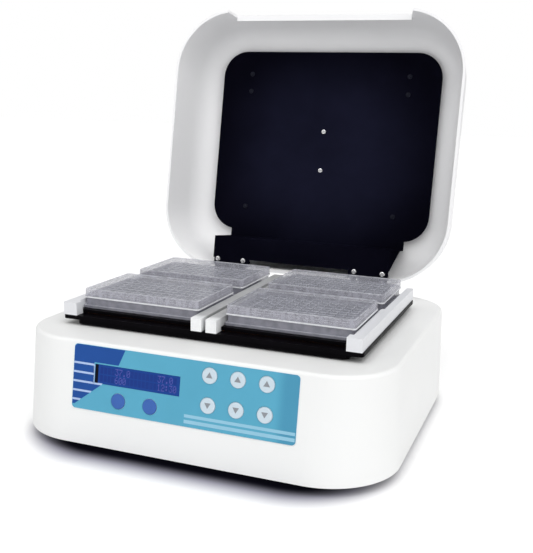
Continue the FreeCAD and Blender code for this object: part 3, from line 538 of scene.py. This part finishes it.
def make_microplate(name):
    """A plate with round wells. Its face kinds are 0 for the body, 1 for a well and 2 for an edge, whose lighter,
    more solid colour is a painted highlight.
    """
    low, high = box_mm("microplate_" + name)
    middle = (low + high) / 2
    deck = high.z - well_rise
    skirt_z = low.z + skirt_height
    field_x, field_y = well_columns * well_pitch / 2, well_rows * well_pitch / 2
    profile = ((0, low.z), (0, skirt_z), (skirt_step, skirt_z),
               (skirt_step + plate_draft, deck - plate_edge), (skirt_step + plate_edge_inset, deck))
    levels = [inset(low, high, by, plate_corner, z) for by, z in profile]
    verts, count = stacked(levels)
    faces = bands(0, count, len(levels))
    kinds = [kind for kind in (0, 2, 0, 2) for _ in range(count)]
    rim = levels[-1]
    for px, py in rounded(*rim[:5]):
        verts.append(to_metres(min(max(px, middle.x - field_x), middle.x + field_x),
                               min(max(py, middle.y - field_y), middle.y + field_y), deck))
    faces += bands(len(verts) - 2 * count, count, 2)
    kinds += [0] * count
    turns = [2 * math.pi * (k + 0.5) / well_sides for k in range(well_sides)]
    well_levels = ((well_top_r + well_lip, deck), (well_top_r, high.z), (well_mouth_r, high.z),
                   (well_floor_r, high.z - well_depth))
    for column in range(well_columns):
        for row in range(well_rows):
            wx = middle.x + (column - (well_columns - 1) / 2) * well_pitch
            wy = middle.y + (row - (well_rows - 1) / 2) * well_pitch
            first = len(verts)
            for turn in turns:
                reach = well_pitch / 2 / max(abs(math.cos(turn)), abs(math.sin(turn)))
                verts.append(to_metres(wx + reach * math.cos(turn), wy + reach * math.sin(turn), deck))
            for r, z in well_levels:
                verts += [to_metres(wx + r * math.cos(turn), wy + r * math.sin(turn), z) for turn in turns]
            faces += bands(first, well_sides, len(well_levels) + 1)
            kinds += [kind for kind in (0, 2, 2, 1) for _ in turns]
            faces.append(tuple(range(len(verts) - well_sides, len(verts))))
            kinds.append(1)
    plate = piece(name + "_plate", verts, faces, [finishes["clear_plastic"], clear_well, clear_edge_painted_highlight],
                  "plate_" + name, "clear_plastic", kinds)
    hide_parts("microplate_" + name)


def make_cover(name):
    """A cover as a section carried round it: inset, smaller corner, height.

    Its face kinds are 0 for the top, 1 for a wall, 2 for an edge and 3 for the rim; the edge and the rim carry
    painted highlights, more solid and lighter than the walls.
    """
    low, high = box_mm("plate_lid_" + name)
    corner = plate_corner + 1
    section = ((1.1, 1, high.z - 1.2), (1.0, 1, low.z), (0, 0, low.z), (0, 0, low.z + 1.1),
               (0.35, 0, low.z + 1.3), (0.5, 0, high.z - 0.9), (0.75, 0.2, high.z - 0.25),
               (1.3, 0.5, high.z), (2.4, 1, high.z), (2.7, 1, high.z - 0.7))
    levels = [inset(low, high, by, corner - less, z) for by, less, z in section]
    verts, count = stacked(levels)
    faces = bands(0, count, len(levels))
    kinds = [kind for kind in (1, 2, 3, 3, 1, 1, 2, 2, 2) for _ in range(count)]
    faces.append(tuple(range(len(verts) - count, len(verts))))
    kinds.append(0)
    cover = piece(name + "_cover", verts, faces, [cover_top, cover_wall, cover_edge_painted_highlight, cover_rim_painted_highlight],
                  "cover_" + name, "clear_plastic", kinds)
    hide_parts("plate_lid_" + name)


# Screws of the liner

def screw_head(place, normal, r, height, sides=24):
    """A low domed head with a cross recess."""
    across = Vector((1, 0, 0))
    along = normal.cross(across)

    def point(x, y, z):
        return place + (across * x + along * y + normal * z) * mm

    profile = ((r, 0), (r, height * 0.35), (r * 0.86, height * 0.8), (r * 0.6, height))
    verts = []
    for pr, pz in profile:
        for k in range(sides):
            turn = 2 * math.pi * k / sides
            verts.append(point(pr * math.cos(turn), pr * math.sin(turn), pz))
    faces = bands(0, sides, len(profile))
    arm, slim = r * 0.5, r * 0.13
    cross = [(arm, -slim), (arm, slim), (slim, slim), (slim, arm), (-slim, arm), (-slim, slim),
             (-arm, slim), (-arm, -slim), (-slim, -slim), (-slim, -arm), (slim, -arm), (slim, -slim)]
    first = len(verts)
    for z in (height, height * 0.4):
        verts += [point(x, y, z) for x, y in cross]
    count = len(cross)
    faces += bands(first, count, 2)
    faces.append(tuple(range(first + count, first + 2 * count)))
    ring = (len(profile) - 1) * sides
    for quarter in range(4):
        start = quarter * sides // 4
        arc = [ring + (start + k) % sides for k in range(sides // 4 + 1)]
        near, inner, far = [first + (3 * quarter + k) % count for k in (1, 2, 3)]
        faces.append((near, *arc, far, inner))
        faces.append((first + 3 * quarter, ring + start, near))
    return verts, faces


def make_screws():
    down = (in_lid(0, 0, 0) - in_lid(0, 0, 1)).normalized()

    def panel_screws(places):
        return [screw_head(in_lid(x, near, panel_up), down, panel_screw_r, panel_screw_height)
                for x, near in places]

    shapes = panel_screws(bright_screws)
    for side in (-1, 1):
        for spread in (-tab_spread, tab_spread):
            place = in_lid(side * hinge_x + spread, tab_screw_near, tab_up)
            shapes.append(screw_head(place, down, tab_screw_r, tab_screw_height))
    bright = piece("liner_screws", *joined(shapes), [finishes["bright_steel"]], "lid", "bright_steel")
    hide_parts("lid_screws")
    piece("liner_dark_screws", *joined(panel_screws(dark_screws)), [dark_screw], "lid", "bright_steel")


make_panel()
make_keys()
make_display()
for plate_name in ("front_left", "front_right", "rear_left", "rear_right"):
    make_microplate(plate_name)
    make_cover(plate_name)
make_screws()


# Floor, light and camera

def math_node(tree, operation, first, second):
    """The result of an operation on two numbers or sockets."""
    node = tree.nodes.new("ShaderNodeMath")
    node.operation = operation
    for socket, value in zip(node.inputs, (first, second)):
        if isinstance(value, (int, float)):
            socket.default_value = value
        else:
            tree.links.new(value, socket)
    return node.outputs["Value"]


def footprint_distance(tree):
    """How far a floor point lies outside the rounded footprint of the base, in metres."""
    low, high = box_mm("base_shell")
    coords = tree.nodes.new("ShaderNodeTexCoord")
    split = tree.nodes.new("ShaderNodeSeparateXYZ")
    tree.links.new(coords.outputs["Object"], split.inputs["Vector"])
    sides = []
    for axis, middle, half in (("X", (low.x + high.x) / 2, (high.x - low.x) / 2 - shade_narrow),
                               ("Y", (low.y + high.y) / 2 - shade_forward, (high.y - low.y) / 2)):
        offset = math_node(tree, "SUBTRACT", split.outputs[axis], middle * mm)
        straight = (half - shade_corner) * mm
        distance = math_node(tree, "SUBTRACT", math_node(tree, "ABSOLUTE", offset, 0), straight)
        sides.append(math_node(tree, "MAXIMUM", distance, 0))
    squares = [math_node(tree, "MULTIPLY", side, side) for side in sides]
    length = math_node(tree, "SQRT", math_node(tree, "ADD", *squares), 0)
    return math_node(tree, "SUBTRACT", length, shade_corner * mm)


def make_floor():
    mat = bpy.data.materials.new("floor_white_painted_shadow")
    tree, shader = shader_of(mat)
    # Painted contact shadow: the floor's colour is dark within and near the base's footprint, bluish halfway, and
    # white farther out.
    shade = tree.nodes.new("ShaderNodeMapRange")
    shade.interpolation_type = "SMOOTHSTEP"
    shade.inputs["From Min"].default_value = -shade_depth * mm
    shade.inputs["From Max"].default_value = shade_reach * mm
    tree.links.new(footprint_distance(tree), shade.inputs["Value"])
    ramp = tree.nodes.new("ShaderNodeValToRGB")
    ramp.color_ramp.elements[0].color = (*shade_dark, 1)
    ramp.color_ramp.elements.new(shade_half_at).color = (*shade_half, 1)
    ramp.color_ramp.elements[2].color = (floor_color, floor_color, floor_color, 1)
    tree.links.new(shade.outputs["Result"], ramp.inputs["Fac"])
    tree.links.new(ramp.outputs["Color"], shader.inputs["Base Color"])
    shader.inputs["Roughness"].default_value = floor_rough
    shader.inputs["Specular IOR Level"].default_value = 0.0
    path = tree.nodes.new("ShaderNodeLightPath")
    tree.links.new(ramp.outputs["Color"], shader.inputs["Emission Color"])
    glow = math_node(tree, "MULTIPLY", path.outputs["Is Camera Ray"], floor_glow)
    tree.links.new(glow, shader.inputs["Emission Strength"])
    mesh = bpy.data.meshes.new("floor")
    corners = ((-1, -1), (1, -1), (1, 1), (-1, 1))
    mesh.from_pydata([(x * floor_half, y * floor_half, floor_z) for x, y in corners], [], [(0, 1, 2, 3)])
    mesh.materials.append(mat)
    floor = bpy.data.objects.new("floor", mesh)
    bpy.context.scene.collection.objects.link(floor)


def make_world():
    world = bpy.data.worlds.new("studio")
    bpy.context.scene.world = world
    world.use_nodes = True
    tree = world.node_tree
    background = tree.nodes["Background"]
    path = tree.nodes.new("ShaderNodeLightPath")
    seen = math_node(tree, "MAXIMUM", path.outputs["Is Camera Ray"], path.outputs["Is Transmission Ray"])
    strength = tree.nodes.new("ShaderNodeMapRange")
    strength.inputs["To Min"].default_value = studio_strength
    strength.inputs["To Max"].default_value = seen_strength
    tree.links.new(seen, strength.inputs["Value"])
    tree.links.new(strength.outputs["Result"], background.inputs["Strength"])
    background.inputs["Color"].default_value = (1, 1, 1, 1)


def make_sun(name, toward, strength, spread):
    light = bpy.data.lights.new(name, "SUN")
    light.energy = strength
    light.angle = math.radians(spread)
    obj = bpy.data.objects.new(name, light)
    bpy.context.scene.collection.objects.link(obj)
    obj.matrix_world = Vector(toward).to_track_quat("Z", "Y").to_matrix().to_4x4()


def make_camera():
    yaw, pitch, roll = camera_yaw, camera_pitch, camera_roll
    level = math.cos(pitch)
    forward = Vector((-math.sin(yaw) * level, math.cos(yaw) * level, -math.sin(pitch)))
    right = Vector((math.cos(yaw), math.sin(yaw), 0))
    up = right.cross(forward)
    right, up = right * math.cos(roll) + up * math.sin(roll), up * math.cos(roll) - right * math.sin(roll)
    camera = bpy.data.cameras.new("camera")
    camera.sensor_fit = "VERTICAL"
    camera.sensor_height = sensor
    camera.lens = focal / picture_height * sensor
    camera.shift_x = (picture_width / 2 - centre_x) / picture_height
    camera.shift_y = (centre_y - picture_height / 2) / picture_height
    camera.clip_start = 0.01
    obj = bpy.data.objects.new("camera", camera)
    bpy.context.scene.collection.objects.link(obj)
    turn = Matrix((right, up, -forward)).transposed().to_4x4()
    obj.matrix_world = Matrix.Translation(camera_place) @ turn
    bpy.context.scene.camera = obj


make_floor()
make_world()
for sun in suns:
    make_sun(*sun)
make_camera()
bpy.context.scene.view_settings.view_transform = "Standard"
